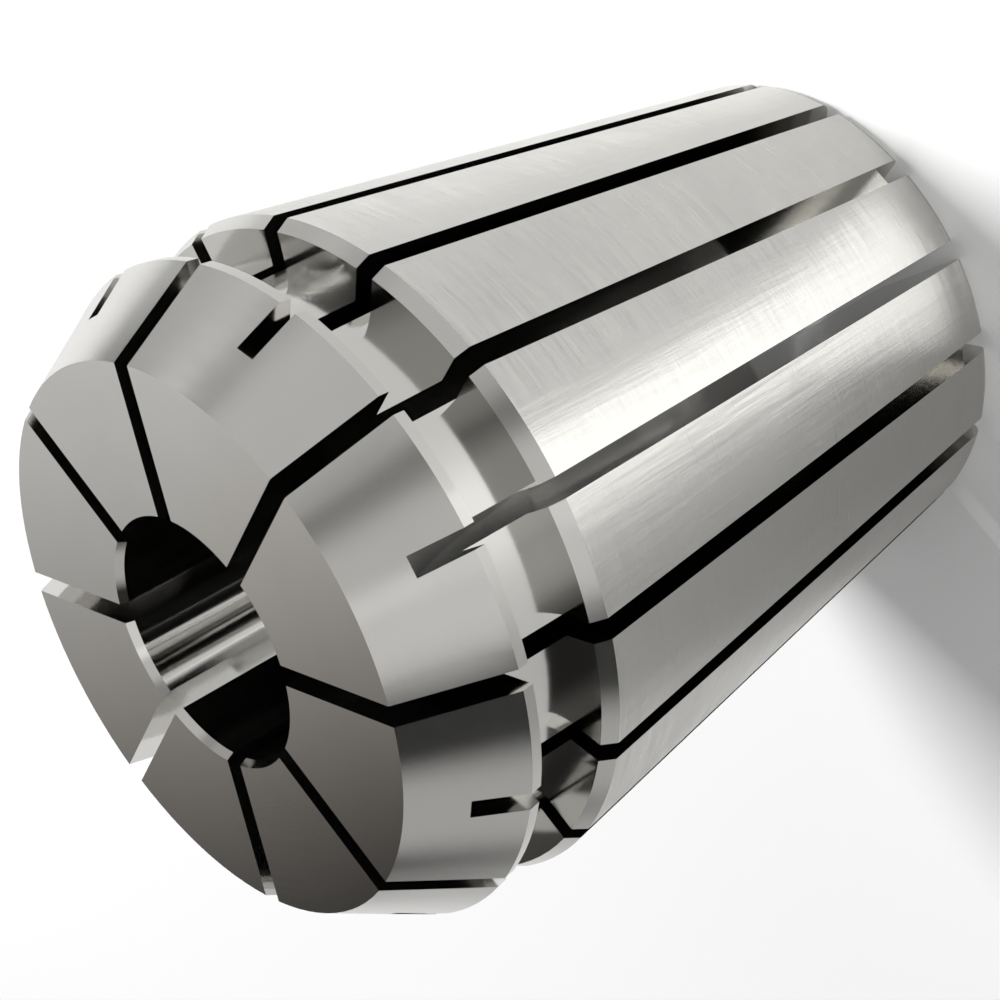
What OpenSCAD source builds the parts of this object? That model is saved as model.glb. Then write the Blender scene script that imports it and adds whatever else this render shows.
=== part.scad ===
// Spring collet for a tool holder. It stands on its small rear end and its axis is Z.
// The long taper seats in the holder and the short cone on the nose takes the nut.

/* [Overall] */
// Length over all, from the rear end to the front face
length = 40; // [34:0.5:50]
// Largest diameter, at the wide end of the long taper
body_d = 33; // [29:0.5:42]
// Angle of the long taper to the axis, in degrees
taper_angle = 8; // [5:0.5:10]

/* [Nose] */
// How far the rim of the nose lies inside the largest diameter, measured along a radius
rim_drop = 0.25; // [0:0.05:1]
// Width of the rim, measured along the axis
rim_w = 0.6; // [0.3:0.1:1.5]
// Length of the nut cone, measured along the axis
cone_len = 4.75; // [3.5:0.25:6]
// Angle of the nut cone to the axis, in degrees
cone_angle = 30; // [25:1:40]

/* [Groove] */
// Width of the extraction groove behind the nose
groove_w = 3.6; // [2.5:0.1:5]
// Depth of the extraction groove below the largest diameter, measured along a radius
groove_depth = 2.1; // [1.2:0.1:3]

/* [Bore] */
// Diameter of the bore that grips the tool shank
bore_d = 12; // [6:0.5:16]

/* [Slots] */
// Slots cut from each end, so the ring has twice as many
slots_per_end = 8; // [4:1:8]
// Width of every slot
slot_w = 1; // [0.6:0.1:1.3]
// Diameter of the slitting saw, whose edge rounds the blind end of every slot
saw_d = 63; // [50:1:80]
// Solid length in front of the slots from the rear end, measured on the nut cone
front_web = 2.5; // [1.5:0.25:4]
// Solid length in front of the slots from the rear end, measured in the bore
front_web_bore = 15.2; // [12:0.2:18]
// Solid length behind the slots from the front face, measured in the bore
rear_web_bore = 6.9; // [5:0.1:9]
// Depth of the notch that the slots from the front face leave in the rear end, along a radius
rear_notch = 1.7; // [0.5:0.1:2.5]

/* [Edges] */
// Chamfer on the shoulder behind the groove, measured along a radius
shoulder_in = 0.4; // [0.2:0.1:0.8]
// Chamfer on the shoulder behind the groove, measured along the axis
shoulder_len = 0.7; // [0.3:0.1:1.2]
// Radius that rounds the rear edge of the taper
rear_r = 0.65; // [0.2:0.05:1]
// Chamfer at the mouth of the bore, measured along a radius
mouth_in = 0.2; // [0.1:0.05:0.6]
// Chamfer at the mouth of the bore, measured along the axis
mouth_len = 0.4; // [0.1:0.05:0.8]

/* [Hidden] */

// Roundness of the turned surfaces
turn_fn = 120;
// Run-out of each cut past the metal
over = 1;

// Stations along the axis, from the front face back to the shoulder
cone_z = length - cone_len;
head_z = cone_z - rim_w;
groove_z = head_z - groove_w;
shoulder_z = groove_z - shoulder_len;

// Radii at those stations
body_r = body_d / 2;
rim_r = body_r - rim_drop;
rim_rear_r = rim_r - rim_w * tan(taper_angle);
face_r = rim_r - cone_len * tan(cone_angle);
groove_r = body_r - groove_depth;
bore_r = bore_d / 2;
rear_end_r = body_r - shoulder_z * tan(taper_angle);

// Centre of the rear rounding, and the point where it runs into the taper
round_x = rear_end_r + rear_r * (tan(taper_angle) - 1 / cos(taper_angle));
round_top = [round_x + rear_r * cos(taper_angle), rear_r * (1 - sin(taper_angle))];

// Slots: the angle between neighbours, and a radius that clears the metal
slot_step = 360 / slots_per_end;
reach = body_r + over;

// Points where the edge of the saw stops: in the bore and at the outside
saw_r = saw_d / 2;
front_cut_bore = [bore_r, rear_web_bore];
front_cut_end = [rear_end_r - rear_notch, 0];
rear_cut_bore = [bore_r, length - front_web_bore];
rear_cut_end = [face_r + front_web * tan(cone_angle), length - front_web];

// Centre of a circle of the saw's radius through a and b, to the left of the line from a to b
function saw_centre(a, b) =
    let (half = norm(b - a) / 2, rise = sqrt(saw_r * saw_r - half * half))
    (a + b) / 2 + rise / (2 * half) * [a[1] - b[1], b[0] - a[0]];

// Half section of the turned blank, from the rear of the bore round the outside to its mouth
module half_section() {
    polygon([
        [bore_r, 0],
        [round_x, 0],
        round_top,
        [body_r, shoulder_z],
        [body_r - shoulder_in, groove_z],
        [groove_r, groove_z],
        [groove_r, head_z],
        [rim_rear_r, head_z],
        [rim_r, cone_z],
        [face_r, length],
        [bore_r + mouth_in, length],
        [bore_r, length - mouth_len]
    ]);
    translate([round_x, rear_r]) circle(r = rear_r, $fn = 48);
}

// One cut on the +X side: the saw where it stops, and the way it came in from open_z
module saw_cut(centre, open_z) {
    rotate([90, 0, 0])
        linear_extrude(height = slot_w, center = true)
            intersection() {
                union() {
                    translate(centre) circle(r = saw_r, $fn = 360);
                    translate([centre[0] - saw_r, min(open_z, centre[1])])
                        square([2 * saw_r, abs(open_z - centre[1])]);
                }
                translate([0, -over]) square([reach, length + 2 * over]);
            }
}

// The same cut repeated round the axis
module ring_of_cuts(centre, open_z, turn) {
    for (i = [0 : slots_per_end - 1])
        rotate([0, 0, turn + i * slot_step])
            saw_cut(centre, open_z);
}

module collet() {
    color([0.74, 0.73, 0.71])
        difference() {
            rotate_extrude($fn = turn_fn) half_section();
            // Slots from the front face, which run out in the rear end
            ring_of_cuts(saw_centre(front_cut_bore, front_cut_end), length + over, 0);
            // Slots from the rear end, which run out in the nut cone
            ring_of_cuts(saw_centre(rear_cut_end, rear_cut_bore), -over, slot_step / 2);
        }
}

collet();
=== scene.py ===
# %% [markdown]
# # A spring collet of ground steel
#
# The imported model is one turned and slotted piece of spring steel. Its shape is right as it
# comes, so this lesson gives it only what a shape can't hold: the ground finish, and the light
# of a small product studio. The model is in metres, it stands on its small rear end, and its
# axis is Z.

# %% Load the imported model
import bpy
from math import cos, pi, radians, sin
from mathutils import Matrix, Vector


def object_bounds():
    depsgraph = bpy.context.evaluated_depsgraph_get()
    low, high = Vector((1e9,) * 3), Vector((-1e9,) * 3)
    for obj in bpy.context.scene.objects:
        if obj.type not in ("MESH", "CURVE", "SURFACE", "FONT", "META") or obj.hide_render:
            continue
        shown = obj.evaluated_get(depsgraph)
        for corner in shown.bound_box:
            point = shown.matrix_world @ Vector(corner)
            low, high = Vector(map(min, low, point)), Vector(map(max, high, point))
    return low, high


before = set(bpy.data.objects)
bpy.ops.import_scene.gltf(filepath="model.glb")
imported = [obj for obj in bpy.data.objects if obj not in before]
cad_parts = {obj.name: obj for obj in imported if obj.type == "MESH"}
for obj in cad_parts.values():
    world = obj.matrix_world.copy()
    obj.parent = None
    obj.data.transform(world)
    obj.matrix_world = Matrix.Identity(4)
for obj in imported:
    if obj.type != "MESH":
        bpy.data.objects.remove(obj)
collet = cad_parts["collet"]
cad_box = [list(corner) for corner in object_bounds()]
print("box of the packed model, in metres:", cad_box)
print("points and faces:", len(collet.data.vertices), len(collet.data.polygons))

# %% [markdown]
# ## The camera
#
# The picture looks down on the nose from one side, and the camera is rolled so far that the
# collet seems to lie down. The floor could be turned instead, but then the piece would no
# longer stand on it. So the floor stays level and the camera is rolled. It is built from the
# point it looks at, the way it looks, its distance and its roll. Pan is measured from the Y
# axis, and tilt is how far it looks down.

# %% Camera
scene = bpy.context.scene
aim = Vector((-0.000975, 0.000284, 0.022473))
pan, tilt, roll = radians(-16.264), radians(33.293), radians(-119.53)
distance = 0.126884

forward = Vector((-sin(pan) * cos(tilt), cos(pan) * cos(tilt), -sin(tilt)))
level_right = forward.cross(Vector((0, 0, 1))).normalized()
level_up = level_right.cross(forward)
right = level_right * cos(roll) + level_up * sin(roll)
up = level_up * cos(roll) - level_right * sin(roll)

camera = bpy.data.objects.new("camera", bpy.data.cameras.new("camera"))
scene.collection.objects.link(camera)
camera.matrix_world = Matrix((right, up, -forward)).transposed().to_4x4()
camera.matrix_world.translation = aim - forward * distance
camera.data.sensor_width = 36
camera.data.lens = 95.646
camera.data.clip_start = 0.005
scene.camera = camera
print("camera at", [round(v, 5) for v in camera.matrix_world.translation])

# %% [markdown]
# ## Helpers for shader nodes
#
# A finish made of nodes reads best as a few lines of sums. One helper adds a node and joins
# what goes into it, one does a step of arithmetic, and one turns a value into a soft yes or no.
# Two more multiply masks with each other, and add each mask's own share to a value. Each
# returns a socket, so a result can go straight into the next step.

# %% Node helpers
def step(tree, kind, inputs=None, output=0, **settings):
    node = tree.nodes.new(kind)
    for name, value in settings.items():
        setattr(node, name, value)
    for key, value in (inputs or {}).items():
        if isinstance(value, bpy.types.NodeSocket):
            tree.links.new(value, node.inputs[key])
        else:
            node.inputs[key].default_value = value
    return node.outputs[output] if node.outputs else node


def sums(tree, operation, *values):
    return step(tree, "ShaderNodeMath", dict(enumerate(values)), operation=operation)


def ramp(tree, value, start, end, low=0.0, high=1.0):
    inputs = {"Value": value, "From Min": start, "From Max": end, "To Min": low, "To Max": high}
    return step(tree, "ShaderNodeMapRange", inputs, interpolation_type="SMOOTHSTEP")


def product(tree, value, *others):
    for other in others:
        value = sums(tree, "MULTIPLY", value, other)
    return value


def added(tree, value, shares):
    for share, mask in shares:
        value = sums(tree, "MULTIPLY_ADD", mask, share, value)
    return value


helpers = [step, sums, ramp, product, added]
print("node helpers:", [helper.__name__ for helper in helpers])

# %% [markdown]
# ## Which way a surface faces
#
# The real collet is turned from bar and slit with a thin saw. Then the taper and the nut cone
# are ground and the bore is honed. The model is one node, so the finishes share one material,
# and it has to know which surface it is on. Painting masks by hand would do, but the direction
# of a surface tells as much. Two numbers hold it: outward is 1 where it faces straight away
# from the axis, and along is 1 where it faces along the axis. A third is the height above the
# floor.

# %% Directions
steel = bpy.data.materials.new("ground_steel")
steel.use_nodes = True
tree = steel.node_tree
tree.nodes.clear()

place = step(tree, "ShaderNodeTexCoord", output="Object")
facing = step(tree, "ShaderNodeNewGeometry", output="Normal")
flat_place = step(tree, "ShaderNodeVectorMath", {0: place, 1: (1, 1, 0)}, operation="MULTIPLY")
away = step(tree, "ShaderNodeVectorMath", {0: flat_place}, operation="NORMALIZE")
outward = step(tree, "ShaderNodeVectorMath", {0: facing, 1: away}, output="Value", operation="DOT_PRODUCT")
along = sums(tree, "ABSOLUTE", step(tree, "ShaderNodeSeparateXYZ", {0: facing}, output="Z"))
above = step(tree, "ShaderNodeSeparateXYZ", {0: place}, output="Z")
print("nodes that read direction and height:", len(tree.nodes))

# %% [markdown]
# ## Where each finish goes
#
# Turned work faces outwards, the end faces along the axis, the bore inwards, and the nut cone
# between two of these. A slot faces sideways, so no mask takes it. The taper and the rim of the
# nose lean a little and the floor of the groove doesn't, and the height tells the rim from the
# taper. Each mask fades in between two values, because a hard border would look jagged.

# %% Masks
groove_rear, groove_front = 0.03105, 0.03465
blur = 0.00005
# The border of the taper lies just inside the groove, where nothing turned leans
below_groove = ramp(tree, above, groove_rear + 3 * blur, groove_rear + blur)
above_groove = ramp(tree, above, groove_front - blur, groove_front + blur)

# From here on a ramp has two cosines: where its mask begins, and where it is full
turned = ramp(tree, outward, 0.93, 0.97)
on_taper = product(tree, turned, ramp(tree, along, 0.05, 0.12), below_groove)
on_rim = product(tree, turned, above_groove)
in_groove = product(tree, turned, ramp(tree, along, 0.1, 0.05))
on_cone = product(tree, ramp(tree, outward, 0.5, 0.7), ramp(tree, along, 0.2, 0.4))
on_end = ramp(tree, along, 0.9, 0.97)
in_bore = ramp(tree, outward, -0.9, -0.97)
groove = [round(edge * 1000, 2) for edge in (groove_rear, groove_front)]
print("the groove reaches from and to, in mm above the rear end:", groove)

# %% [markdown]
# ## Grinding marks
#
# A grinding wheel leaves fine scratches round the piece, and its slight chatter leaves faint
# bands along it. Both are far too fine to model, so noise gives them. The rings are squeezed
# along the outline of the piece, and the bands are squeezed round the axis. Blotches, as broad
# as they are long, make the finish uneven. The rings and bands are strong on the long taper and
# nearly gone on the finer ground cone and faces.

# %% Marks
ring_length, ring_gap = 0.003, 0.00014
band_turn, band_length = 0.04, 0.012
blotch_size = 0.006
faint_rings, faint_bands = 0.06, 0.02
radius = step(tree, "ShaderNodeVectorMath", {0: flat_place}, output="Value", operation="LENGTH")
outline = sums(tree, "ADD", above, radius)


def marks(across, around, length):
    turn = step(tree, "ShaderNodeVectorMath", {0: across, "Scale": 1 / around}, operation="SCALE")
    rise = step(tree, "ShaderNodeCombineXYZ", {"Z": sums(tree, "DIVIDE", outline, length)})
    where = step(tree, "ShaderNodeVectorMath", {0: turn, 1: rise}, operation="ADD")
    inputs = {"Vector": where, "Scale": 1.0, "Detail": 3.0, "Roughness": 0.6}
    return sums(tree, "SUBTRACT", step(tree, "ShaderNodeTexNoise", inputs), 0.5)


rings = marks(flat_place, ring_length, ring_gap)
bands = marks(away, band_turn, band_length)
blotches = marks(flat_place, blotch_size, blotch_size)
ringed = product(tree, rings, added(tree, on_taper, [(faint_rings, on_cone), (faint_rings, on_end)]))
banded = product(tree, bands, added(tree, on_taper, [(faint_bands, on_cone)]))
band_gap = band_turn * cad_box[1][0]
print("rings", round(ring_gap * 1000, 2), "mm apart, bands about", round(band_gap * 1000, 2), "mm apart")

# %% [markdown]
# ## Roughness
#
# The sawn slots, the bore and the end faces are the smoothest and act almost as mirrors. The
# nut cone is satin, and the long taper is the dullest. So the roughness starts at that of a
# mirror face, and each surface adds its own share. The rings make the taper a little smoother
# and rougher by turns, which breaks a highlight into fine lines.

# %% Roughness
polished, taper_share, cone_share, rim_share = 0.09, 0.28, 0.11, 0.08
rough = added(tree, polished, [
    (taper_share, on_taper),
    (cone_share, on_cone),
    (rim_share, on_rim),
    (0.45, ringed),
    (0.2, product(tree, blotches, on_taper)),
    (0.12, product(tree, bands, in_bore))])
duller = [round(polished + share, 2) for share in (cone_share, taper_share)]
print("roughness of a slot:", polished, "and of the cone and the taper:", duller)

# %% [markdown]
# ## Colour
#
# The colour of bare steel is a slightly warm grey. A picture of steel could be laid on it, but
# the marks are there already, so they move the colour between a darker and a lighter grey. The
# floor of the groove and the rim of the nose, which are turned but not ground, are painted darker as
# painted shade, for the dimmer light that they show.

# %% Colour
dark, light = (0.455, 0.447, 0.425, 1), (0.60, 0.593, 0.568, 1)
# The floor of the groove and the rim of the nose are made darker here: this is painted shade.
tone_and_shade = added(tree, 0.6, [(0.3, ringed), (0.4, blotches), (-0.4, in_groove), (-0.6, on_rim)])
steel_colour = step(tree, "ShaderNodeMix", {0: tone_and_shade, 6: dark, 7: light}, output=2, data_type="RGBA")
print("grey from", dark[:3], "to", light[:3])

# %% [markdown]
# ## Shader
#
# Bare steel is a metal with no coat. The marks also drive a bump a few thousandths of a
# millimetre deep. Scratches that run round the piece spread light mostly along it, and the
# shader does that with anisotropy about a tangent round the axis.

# %% Shader
mark_depth = 0.00005
height = added(tree, 0.0, [(0.25, ringed), (0.6, banded)])
bump = step(tree, "ShaderNodeBump", {"Height": height, "Strength": 0.8, "Distance": mark_depth})
tangent = step(tree, "ShaderNodeTangent", direction_type="RADIAL", axis="Z")
shader = step(tree, "ShaderNodeBsdfPrincipled", {
    "Base Color": steel_colour, "Metallic": 1.0, "Roughness": rough, "Normal": bump,
    "Anisotropic": 0.88, "Anisotropic Rotation": 0.25, "Tangent": tangent})
step(tree, "ShaderNodeOutputMaterial", {"Surface": shader})
collet.data.materials.clear()
collet.data.materials.append(steel)
print("nodes in the steel:", len(tree.nodes))

# %% [markdown]
# ## Floor
#
# The collet stands on a sheet of white paper that is far wider than the picture. More light
# would make the paper whiter, but the steel brighter too. So a tenth of its white comes from
# the material itself, to the camera and to mirrors alike, and it still takes the shadow.

# %% Floor
glow = 0.1


def looked_at(tree):
    rays = ["Is Camera Ray", "Is Glossy Ray", "Is Transmission Ray"]
    seen, mirrored, through = [step(tree, "ShaderNodeLightPath", output=ray) for ray in rays]
    return sums(tree, "MAXIMUM", sums(tree, "MAXIMUM", seen, mirrored), through)


bpy.ops.mesh.primitive_plane_add(size=3, location=(0, 0, 0))
floor = bpy.context.object
floor.name = "floor"
paper = bpy.data.materials.new("floor_paper")
paper.use_nodes = True
tree = paper.node_tree
tree.nodes.clear()
share = product(tree, looked_at(tree), glow)
lit = step(tree, "ShaderNodeBsdfDiffuse", {"Color": (0.88, 0.88, 0.88, 1)})
white = step(tree, "ShaderNodeEmission", {"Color": (1, 1, 1, 1), "Strength": 1.0})
mixed = step(tree, "ShaderNodeMixShader", {0: share, 1: lit, 2: white})
step(tree, "ShaderNodeOutputMaterial", {"Surface": mixed})
floor.data.materials.append(paper)
print("floor", round(floor.dimensions.x, 2), "m wide")

# %% [markdown]
# ## How a lamp is set
#
# A lamp could be set by coordinates and watts, but a photographer thinks of a direction, a
# distance and how bright the softbox looks. So one helper turns two angles into a direction,
# and one aims a pose from there at a point. The third makes the lamp, whose brightness is the
# white that a mirror would show: one is plain white.

# %% Lamp helpers
def heading(azimuth, elevation):
    azimuth, elevation = radians(azimuth), radians(elevation)
    return Vector((cos(azimuth) * cos(elevation), sin(azimuth) * cos(elevation), sin(elevation)))


def aimed(azimuth, elevation, distance, target):
    towards = heading(azimuth, elevation)
    pose = towards.to_track_quat("Z", "Y").to_matrix().to_4x4()
    pose.translation = Vector(target) + towards * distance
    return pose


def softbox(name, width, height, brightness, pose):
    lamp = bpy.data.lights.new(name, "AREA")
    lamp.shape = "RECTANGLE"
    lamp.size, lamp.size_y = width, height
    lamp.energy = brightness * pi * width * height
    piece = bpy.data.objects.new(name, lamp)
    scene.collection.objects.link(piece)
    piece.matrix_world = pose
    piece.visible_camera = False
    print(name, "gives", round(lamp.energy, 4), "W")


print("azimuth 90 is the direction", [round(v, 3) for v in heading(90, 0)])

# %% [markdown]
# ## The lamps
#
# Ground steel shows its lamps rather than its own colour, and the long taper leans so that it
# shows the floor close by. A large softbox lights that floor from one side, which leaves the
# other side of the taper in shade. A small softbox low in front gives the bright streak down
# the taper, and a narrow panel that lies on the paper, facing up, sharpens it.

# %% Lamps
high_at_side = aimed(azimuth=9, elevation=46, distance=0.6, target=(0, 0, 0.02))
softbox("key", width=0.19, height=0.19, brightness=38.0, pose=high_at_side)

low_in_front = aimed(azimuth=-114, elevation=8, distance=0.075, target=(0, 0, 0.012))
softbox("near_front", width=0.034, height=0.025, brightness=5.6, pose=low_in_front)

panel_azimuth, from_axis, above_paper = -112, 0.0285, 0.0015
facing_up = Matrix.Rotation(pi, 4, "X")
lying = Matrix.Rotation(radians(panel_azimuth), 4, "Z") @ facing_up
lying.translation = heading(panel_azimuth, 0) * from_axis + Vector((0, 0, above_paper))
softbox("panel", width=0.03, height=0.011, brightness=1.05, pose=lying)

# %% [markdown]
# ## The room
#
# The cone and the face of the nose lean upwards and show the room. Its walls are dark, with a
# few large soft lights on them, each a round patch that fades out towards its edge. The light
# on the side that the face shows is a little warm. The ceiling is pale where the camera or a
# mirror looks at it, so that the face isn't black from above, but it lights nothing.

# %% Room
world = bpy.data.worlds.new("studio")
scene.world = world
world.use_nodes = True
tree = world.node_tree
tree.nodes.clear()
sky = step(tree, "ShaderNodeTexCoord", output="Generated")


def closeness(azimuth, elevation):
    inputs = {0: sky, 1: heading(azimuth, elevation)}
    return step(tree, "ShaderNodeVectorMath", inputs, output="Value", operation="DOT_PRODUCT")


dark_wall, pale_ceiling = 0.04, 0.65
ceiling = ramp(tree, closeness(0, 90), 0.75, 0.95, dark_wall, pale_ceiling)
level = sums(tree, "MAXIMUM", product(tree, ceiling, looked_at(tree)), dark_wall)

# Azimuth, elevation, radius of the even middle and of the whole patch, in degrees; brightness
patches = [
    (45, 33, 12, 33, 0.92),
    (-8, 8, 10, 26, 0.5),
    (-58, 23, 14, 36, 0.72),
    (-110, 32, 6, 20, 0.75),
    (-139, 26, 6, 22, 1.0),
    (155, 10, 8, 26, 0.6)]
for azimuth, elevation, middle, edge, brightness in patches:
    fade = [cos(radians(angle)) for angle in (edge, middle)]
    patch = ramp(tree, closeness(azimuth, elevation), *fade, 0.0, brightness)
    level = sums(tree, "ADD", level, patch)

warm_side = ramp(tree, closeness(95, 28), 0.9, 0.975)
plain, warm = (1, 1, 1, 1), (1, 0.937, 0.88, 1)
tint = step(tree, "ShaderNodeMix", {0: warm_side, 6: plain, 7: warm}, output=2, data_type="RGBA")
room = step(tree, "ShaderNodeBackground", {"Color": tint, "Strength": level})
step(tree, "ShaderNodeOutputWorld", {"Surface": room})
print("soft lights on the walls:", len(patches))

# %% [markdown]
# ## View
#
# Colours are shown as they are, without a film curve. A narrow slot is black in the picture
# because light is lost between its walls, and three mirror bounces are enough to show that.

# %% View
scene.view_settings.view_transform = "Standard"
scene.cycles.glossy_bounces = 3
